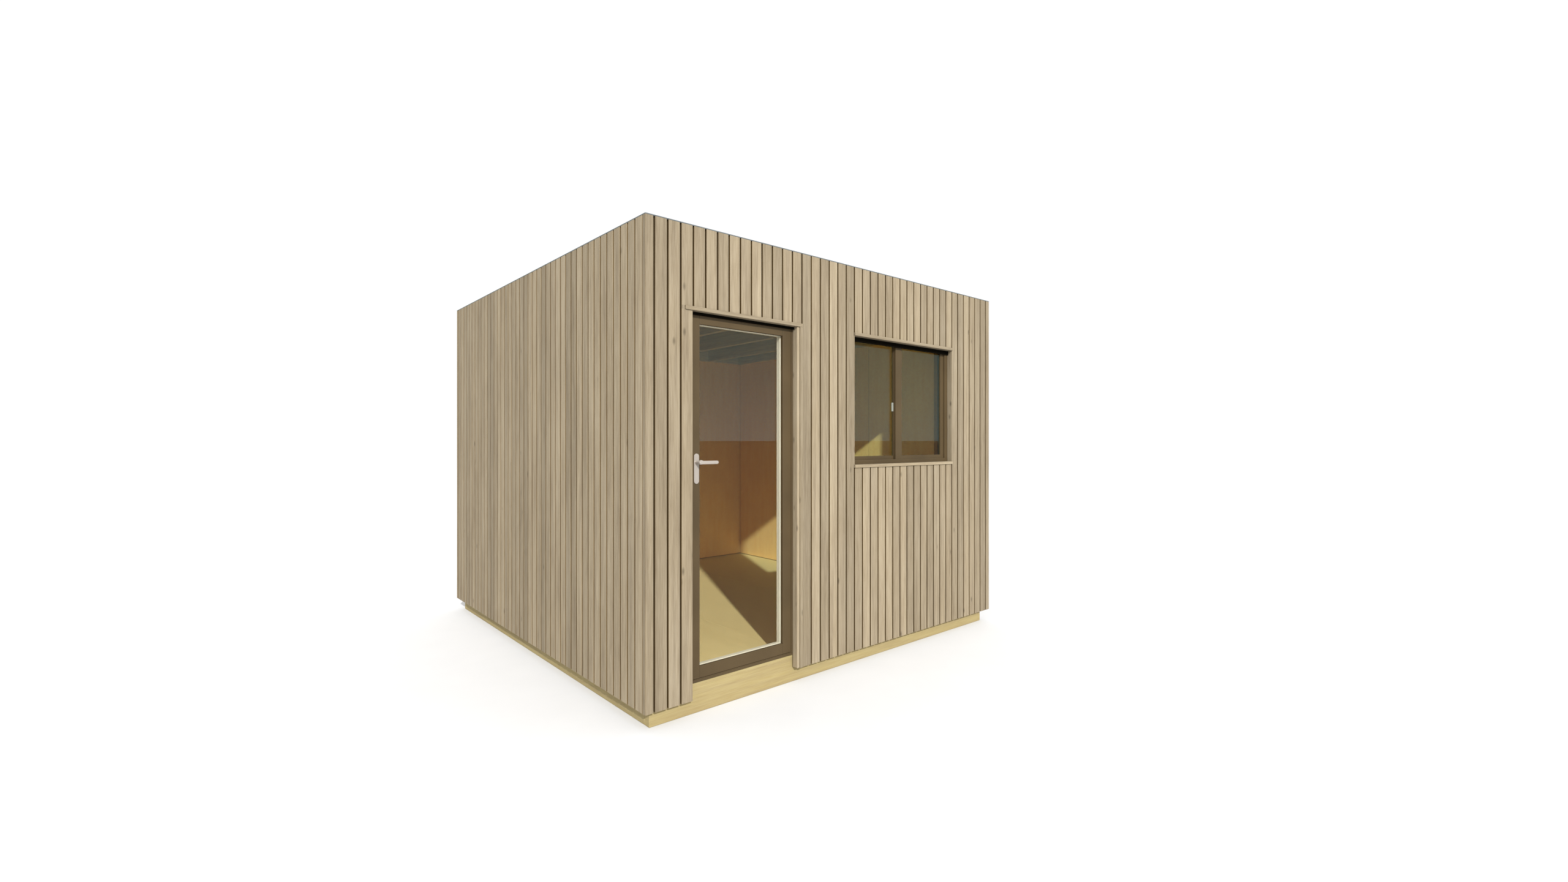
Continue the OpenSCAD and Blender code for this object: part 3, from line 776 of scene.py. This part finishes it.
piece("edge_joists", bm, [joist_timber, joist_block_timber], "building")

# %% [markdown]
# Boards of the same timber as the slats close the openings: one over the door, one on its right, one over
# the window and one under it. They are plain planed boards, so a bevelled box is all they need.

# %% Surround boards
TRIM_ROUND = 0.0025

for node, finish in (
    ("door_trim_right", upright_timber), ("door_trim_head", trim_timber),
    ("window_trim_head", trim_timber), ("window_board", trim_timber),
):
    boards(node + "_board", [node], [finish], TRIM_ROUND)

# %% [markdown]
# A cover strip lines the reveal beside the right board, from the face of the slats to the frame. It leaves
# a narrow edge of the frame in sight. It could be part of the board, but a strip of its own has its own
# grain, and a fine line where the two meet.

# %% Cover strip
COVER_REVEAL = 0.006

jamb_low, jamb_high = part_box("door_jamb_right")
slat_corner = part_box("cladding_front_middle")[0]
cover_left = jamb_low.x + COVER_REVEAL
bm = new_mesh()
block(
    bm, (cover_left, slat_corner.y, slat_corner.z),
    (jamb_high.x, jamb_low.y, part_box("door_trim_head")[0].z), TRIM_ROUND,
)
piece("door_cover_strip", bm, [upright_timber], "building")

# %% [markdown]
# Thin strips of the same timber line the sides of the window opening, from the face of the slats to the
# frame. They are laid a little into the opening, so that they cover the ends of the battens. Only their
# faces and one edge show, so two bevelled bars are enough.

# %% Window side strips
STRIP_COVER = 0.001
STRIP_ROUND = 0.0008

frame_low, frame_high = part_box("window_frame")
strip_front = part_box("cladding_front_right")[0].y + STRIP_COVER
strip_foot, strip_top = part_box("window_board")[1].z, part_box("window_trim_head")[0].z
bm = new_mesh()
for left, right in (
    (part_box("cladding_front_middle")[1].x, frame_low.x + STRIP_COVER),
    (frame_high.x - STRIP_COVER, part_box("cladding_front_right")[0].x),
):
    block(bm, (left, strip_front, strip_foot), (right, frame_low.y, strip_top), STRIP_ROUND)
piece("window_side_strips", bm, [upright_timber], "building")

# %% [markdown]
# Under both head boards hangs a strip of painted shade: a near-black bar that stands for the shadow the
# board casts on the top of the frame, taller under the window. A small bevelled bar is all it needs.

# %% Strips of painted shade
STRIP_THICK = 0.008
STRIP_SET_IN = 0.001
DOOR_SHADE_DROP = 0.015
WINDOW_SHADE_DROP = 0.030

# This near-black finish is rubber on the door seals and painted shade on the strips under the head boards.
seal_rubber_and_painted_shade = coated("seal_rubber_and_painted_shade", (0.004, 0.003, 0.0015, 1), rough=0.8, shine=0.03)
bm = new_mesh()
for node, left, right, drop in (
    ("door_trim_head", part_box("door_jamb_left")[0].x, cover_left, DOOR_SHADE_DROP),
    ("window_trim_head", frame_low.x, frame_high.x, WINDOW_SHADE_DROP),
):
    board_low, board_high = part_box(node)
    strip_back = board_high.y - STRIP_SET_IN
    block(bm, (left, strip_back - STRIP_THICK, board_low.z - drop), (right, strip_back, board_low.z))
piece("painted_shade_strips", bm, [seal_rubber_and_painted_shade], "building")

# %% [markdown]
# The door frame and the leaf are brown bars, and the leaf is pale towards the room. A bar could be one
# box with a groove cut for the glass. Here each bar of the leaf is three layers instead: a brown lip, a core
# that stops short to hold the glass, and a pale bead.

# %% Door frame and leaf
BAR_ROUND = 0.0020
GLASS_SEAT = 0.012
BROWN, PALE = 0, 1

for node in ("door_jamb_left", "door_jamb_right", "door_frame_head", "door_threshold"):
    boards(node + "_bar", [node], [brown_coat], BAR_ROUND)

glass_low, glass_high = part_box("door_glass")
leaf_front, leaf_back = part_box("door_stile_right")[0].y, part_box("door_stile_right")[1].y


def leaf_bar(node, axis, glass_side):
    """A stile or rail whose glass lies on its low or high side along an axis."""
    low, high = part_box(node)
    bm = new_mesh()
    layers = (
        (leaf_front, glass_low.y, 0.0, BROWN),
        (glass_low.y, glass_high.y, GLASS_SEAT, BROWN),
        (glass_high.y, leaf_back, 0.0, PALE),
    )
    for front, back, short, finish in layers:
        a, b = low.copy(), high.copy()
        a.y, b.y = front, back
        if glass_side == HIGH_SIDE:
            b[axis] -= short
        else:
            a[axis] += short
        block(bm, a, b, 0 if short else BAR_ROUND, finish=finish)
    piece(node + "_bar", bm, [brown_coat, pale_coat], "door", [node])


leaf_bar("door_stile_left", X, HIGH_SIDE)
leaf_bar("door_stile_right", X, LOW_SIDE)
leaf_bar("door_bottom_rail", Z, HIGH_SIDE)
leaf_bar("door_top_rail", Z, LOW_SIDE)

# %% [markdown]
# Rubber seals on the frame close the joint round the leaf. Real ones are hollow and touch the leaf. These
# are solid bars that stop just short of it, so that the door can swing without cutting into them.

# %% Seals
SEAL_DEPTH = 0.010
SEAL_FROM_BACK = 0.004
SEAL_SIDE = 0.0045
SEAL_END = 0.005
SEAL_ROUND = 0.0015

jamb_left, jamb_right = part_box("door_jamb_left"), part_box("door_jamb_right")
head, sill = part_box("door_frame_head"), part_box("door_threshold")
seal_y = leaf_back - SEAL_FROM_BACK - SEAL_DEPTH, leaf_back - SEAL_FROM_BACK
bm = new_mesh()
for a, b in (
    ((jamb_left[1].x, sill[1].z), (jamb_left[1].x + SEAL_SIDE, head[0].z)),
    ((jamb_right[0].x - SEAL_SIDE, sill[1].z), (jamb_right[0].x, head[0].z)),
    ((head[0].x + SEAL_SIDE, head[0].z - SEAL_END), (head[1].x - SEAL_SIDE, head[0].z)),
    ((sill[0].x + SEAL_SIDE, sill[1].z), (sill[1].x - SEAL_SIDE, sill[1].z + SEAL_END)),
):
    block(bm, (a[0], seal_y[0], a[1]), (b[0], seal_y[1], b[1]), SEAL_ROUND)
piece("door_seals", bm, [seal_rubber_and_painted_shade], "building")

# %% [markdown]
# In front of the seals, slim bars on the threshold and the jambs hide most of the joint, and keep the rain
# off the rubber. They are plain bars like the frame, and they clear the leaf as the seals do.

# %% Threshold bar and jamb stops
STOP_LEFT = 0.0045
STOP_RIGHT = 0.0065
STOP_FRONT, STOP_BACK = 0.001, 0.009
STOP_ROUND = 0.001

bm = new_mesh()
bar_y = leaf_front + STOP_FRONT, leaf_front + STOP_BACK
block(bm, (sill[0].x, bar_y[0], sill[1].z), (sill[1].x, bar_y[1], sill[1].z + SEAL_END), STOP_ROUND)
piece("threshold_bar", bm, [brown_coat], "building")
bm = new_mesh()
for left, right in (
    (jamb_left[1].x, jamb_left[1].x + STOP_LEFT), (jamb_right[0].x - STOP_RIGHT, jamb_right[0].x)
):
    block(bm, (left, bar_y[0], sill[1].z + SEAL_END), (right, bar_y[1], head[0].z), STOP_ROUND)
piece("jamb_stops", bm, [brown_coat], "building")

# %% [markdown]
# The door's glass is two panes on a spacer. The spacer is a slim ring of four bars between the panes, and
# it is pale, so it draws the light line round the view into the room. One thick block of glass would be
# simpler, but the spacer shows only between two thin panes.

# %% Double glass
SPACER = 0.010
SPACER_SHOWS = 0.002
SPACER_ROUND = 0.0005
PANE = 0.004


def ring(bm, low, high, width, edge):
    """Four bars round the inside of a box in the plane of the wall."""
    for a, b in (
        ((low.x, low.z), (low.x + width, high.z)),
        ((high.x - width, low.z), (high.x, high.z)),
        ((low.x + width, low.z), (high.x - width, low.z + width)),
        ((low.x + width, high.z - width), (high.x - width, high.z)),
    ):
        block(bm, (a[0], low.y, a[1]), (b[0], high.y, b[1]), edge, segments=1)


bm = new_mesh()
for front, back in ((glass_low.y, glass_low.y + PANE), (glass_high.y - PANE, glass_high.y)):
    block(bm, (glass_low.x, front, glass_low.z), (glass_high.x, back, glass_high.z), edge=0)
piece("door_panes", bm, [door_pane], "door", ["door_glass"])
spacer_in = GLASS_SEAT - SPACER + SPACER_SHOWS
inset = Vector((spacer_in, PANE, spacer_in))
bm = new_mesh()
ring(bm, glass_low + inset, glass_high - inset, SPACER, SPACER_ROUND)
piece("door_spacer", bm, [pale_coat], "door")

# %% [markdown]
# The handle is a long plate with round ends and a lever on each face. A box becomes a plate with round
# ends when the four edges through it are rounded almost to its middle, and a second, small bevel breaks
# the rim of its face.

# %% Handle plates
PLATE_ROUND = 0.0010
END_ROUND_SHARE = 0.98
END_STEPS = 8


def round_ended(bm, low, high, rim):
    """A flat bar in the plane of the wall with round ends."""
    radius = min(high.x - low.x, high.z - low.z) / 2
    faces = block(bm, low, high, radius * END_ROUND_SHARE, END_STEPS, axes=(Y,))
    flats = [f for f in faces if len(f.verts) > 4]
    rims = {e for f in flats for e in f.edges}
    bmesh.ops.bevel(
        bm, geom=list(rims), offset=rim, offset_type="OFFSET", affect="EDGES",
        segments=3, profile=0.5, material=-1,
    )


plates_low, plates_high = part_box("handle_plates")
bm = new_mesh()
round_ended(bm, plates_low, Vector((plates_high.x, leaf_front, plates_high.z)), PLATE_ROUND)
round_ended(bm, Vector((plates_low.x, leaf_back, plates_low.z)), plates_high, PLATE_ROUND)
piece("back_plates", bm, [satin_metal], "door", ["handle_plates"])

# %% [markdown]
# The lever turns on its own body. Its bar has the same round ends as the plate, with softer edges for the
# hand, and a round neck carries it just clear of the plate. Bars and necks could be joined by a boolean, but
# the necks simply run a little way into the bars, and nothing of that shows.

# %% Lever
LEVER_HIGH = 0.018
LEVER_THICK = 0.011
LEVER_ROUND = 0.0035
NECK_INTO_BAR = 0.004
NECK_PLAY = 0.0005

lever_low, lever_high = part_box("door_lever")
lever_z = (lever_low.z + lever_high.z) / 2
neck_radius = (lever_high.z - lever_low.z) / 2
neck_x = lever_low.x + neck_radius
bm = new_mesh()
for near, far in ((lever_low.y, lever_low.y + LEVER_THICK), (lever_high.y - LEVER_THICK, lever_high.y)):
    low = Vector((lever_low.x, near, lever_z - LEVER_HIGH / 2))
    high = Vector((lever_high.x, far, lever_z + LEVER_HIGH / 2))
    round_ended(bm, low, high, LEVER_ROUND)
for near, far in (
    (lever_low.y + NECK_INTO_BAR, plates_low.y - NECK_PLAY),
    (plates_high.y + NECK_PLAY, lever_high.y - NECK_INTO_BAR),
):
    turn = Matrix.Translation((neck_x, (near + far) / 2, lever_z)) @ Matrix.Rotation(math.pi / 2, 4, "X")
    bmesh.ops.create_cone(
        bm, cap_ends=True, segments=32, radius1=neck_radius, radius2=neck_radius,
        depth=far - near, matrix=turn,
    )
piece("lever_pair", bm, [satin_metal], "lever", ["door_lever"])
coat(["door_hinge_leaves", "frame_hinge_leaves"], hinge_steel)

# %% [markdown]
# The window slides: two sashes run in two tracks of one brown frame, and a small white latch sits where
# they meet. The frame's bars have three lips with the tracks between them. Grooves could be cut into solid
# bars, but five thin rings, of which two are cut back, give the same profile with plain boxes.

# %% Window frame
TRACK_DEPTH = 0.008
FRAME_SIDE, FRAME_END = 0.035, 0.025
LIP_PARTS = 3

outer_low, outer_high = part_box("window_sash_right")
inner_low, inner_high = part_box("window_sash_left")


def frame_ring(bm, front, back, short):
    """One layer of the window frame, with its sight edges cut back by short."""
    side, end = FRAME_SIDE - short, FRAME_END - short
    edge = 0 if short else BAR_ROUND
    for a, b in (
        ((frame_low.x, frame_low.z), (frame_low.x + side, frame_high.z)),
        ((frame_high.x - side, frame_low.z), (frame_high.x, frame_high.z)),
        ((frame_low.x + side, frame_low.z), (frame_high.x - side, frame_low.z + end)),
        ((frame_low.x + side, frame_high.z - end), (frame_high.x - side, frame_high.z)),
    ):
        block(bm, (a[0], front, a[1]), (b[0], back, b[1]), min(edge, (back - front) / LIP_PARTS))


bm = new_mesh()
for front, back, short in (
    (frame_low.y, outer_low.y, 0), (outer_low.y, outer_high.y, TRACK_DEPTH),
    (outer_high.y, inner_low.y, 0), (inner_low.y, inner_high.y, TRACK_DEPTH),
    (inner_high.y, frame_high.y, 0),
):
    frame_ring(bm, front, back, short)
piece("sliding_frame", bm, [brown_coat], "building", ["window_frame"])

# %% [markdown]
# Each sash is four bars round its pane, which sits a little way into them. Real bars meet in a mitre, which
# hardly shows at this size, so these simply butt. The latch is a small moulded block with soft edges.

# %% Sashes and latch
PANE_SEAT = 0.008
LATCH_ROUND = 0.003


def sash(name, node, pane_node):
    """Four bars round a pane."""
    low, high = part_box(node)
    pane_low, pane_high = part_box(pane_node)
    seat = Vector((PANE_SEAT, 0, PANE_SEAT))
    open_low, open_high = pane_low + seat, pane_high - seat
    bm = new_mesh()
    for a, b in (
        ((low.x, low.z), (open_low.x, high.z)),
        ((open_high.x, low.z), (high.x, high.z)),
        ((open_low.x, low.z), (open_high.x, open_low.z)),
        ((open_low.x, open_high.z), (open_high.x, high.z)),
    ):
        block(bm, (a[0], low.y, a[1]), (b[0], high.y, b[1]), BAR_ROUND)
    piece(name, bm, [brown_coat], "building", [node])


sash("sliding_sash_left", "window_sash_left", "window_glass_left")
sash("sliding_sash_right", "window_sash_right", "window_glass_right")
coat(["window_glass_left", "window_glass_right"], window_pane)

latch_low, latch_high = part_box("window_latch")
bm = new_mesh()
block(bm, latch_low, latch_high, LATCH_ROUND, segments=3)
piece("sash_latch", bm, [latch_white], "building", ["window_latch"])

# %% [markdown]
# A plain pale studio: a wide floor, and one sun lamp from the front left that draws the edges of the slats
# and falls through the door onto the floor. A lamp with an area would do too, but a sun lamp throws straight
# shadows of even sharpness over the whole building.

# %% Studio floor and sun
FLOOR_SIZE = 60.0
PAPER = (0.74, 0.74, 0.74, 1)
SUN_PATH = Vector((0.460, 1.0, -0.607))
SUN_STRENGTH = 3.7
SUN_WIDTH = 1.3
FLOOR_DROP = 0.0005

bm = bmesh.new()
under_feet = Matrix.Translation((0, 0, -FLOOR_DROP))
bmesh.ops.create_grid(bm, x_segments=1, y_segments=1, size=FLOOR_SIZE / 2, matrix=under_feet)
mesh = bpy.data.meshes.new("studio_floor")
bm.to_mesh(mesh)
bm.free()
mesh.materials.append(coated("studio_paper", PAPER, vary=0.01, rough=0.8, strength=0.0))
studio_floor = bpy.data.objects.new("studio_floor", mesh)
bpy.context.scene.collection.objects.link(studio_floor)
studio_floor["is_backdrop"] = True

sun = bpy.data.lights.new("sun", "SUN")
sun.energy = SUN_STRENGTH
sun.angle = math.radians(SUN_WIDTH)
sun_object = bpy.data.objects.new("sun", sun)
sun_object.rotation_euler = SUN_PATH.to_track_quat("-Z", "Y").to_euler()
bpy.context.scene.collection.objects.link(sun_object)
print("sun heading", [round(x, 3) for x in SUN_PATH.normalized()])

# %% [markdown]
# An even white surround gives soft light from all sides. Shiny surfaces get a surround of their own: a dim
# sky over dark ground. It puts a soft sheen on the panes above eye height, which tells the eye that there
# is glass, and leaves the view into the room clear below. A small bright card would do that too, but few
# light paths would find it, and the panes would be grainy.

# %% Surround
SURROUND_STRENGTH = 1.06
HORIZON_SKY = (0.37, 0.62, 0.70, 1)
HIGH_SKY = (0.20, 0.42, 0.44, 1)
HIGH_FROM = 0.16
WHITE = (1, 1, 1, 1)
OVERHEAD_FROM, OVERHEAD_FULL = 0.20, 0.50
DARK_GROUND = (0.16, 0.17, 0.20, 1)

studio_floor.visible_glossy = False
world = bpy.data.worlds.new("surround")
world.use_nodes = True
tree = world.node_tree
background = tree.nodes["Background"]
background.inputs["Strength"].default_value = SURROUND_STRENGTH
direction = tree.nodes.new("ShaderNodeSeparateXYZ")
tree.links.new(tree.nodes.new("ShaderNodeTexCoord").outputs["Generated"], direction.inputs["Vector"])
rise = direction.outputs["Z"]
sky = mix_colour(tree, spread(tree, rise, 0.0, HIGH_FROM, 0.0, 1.0), HORIZON_SKY, HIGH_SKY)
sky = mix_colour(tree, spread(tree, rise, OVERHEAD_FROM, OVERHEAD_FULL, 0.0, 1.0), sky, WHITE)
mirrored = mix_colour(tree, math_node(tree, "GREATER_THAN", rise, 0.0), DARK_GROUND, sky)
is_mirrored = tree.nodes.new("ShaderNodeLightPath").outputs["Is Glossy Ray"]
tree.links.new(mix_colour(tree, is_mirrored, WHITE, mirrored), background.inputs["Color"])
bpy.context.scene.world = world
bpy.context.scene.view_settings.view_transform = "Standard"
print("surround strength", SURROUND_STRENGTH)

# %% [markdown]
# The camera stands at eye height off the left front corner. It could look slightly down to centre the
# studio, but a level view through a wide lens keeps upright edges upright.

# %% Camera
CAMERA_PLACE = (-3.0851, -4.3611, 1.4048)
CAMERA_TURN = -41.37
LENS = 15.04
SENSOR = 36.0

camera = bpy.data.cameras.new("camera")
camera.sensor_width = SENSOR
camera.lens = LENS
camera_object = bpy.data.objects.new("camera", camera)
camera_object.location = CAMERA_PLACE
camera_object.rotation_euler = (math.radians(90), 0, math.radians(CAMERA_TURN))
bpy.context.scene.collection.objects.link(camera_object)
bpy.context.scene.camera = camera_object
print("camera at", CAMERA_PLACE)

# %% [markdown]
# Last, the box of what is seen is printed; the box of the solids was printed at the start. The dressed
# studio should be no larger than the solids, because its size was measured on them.

# %% Sizes and finish
low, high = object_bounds()
print("visual box", [round(x, 4) for x in (*low, *high)])
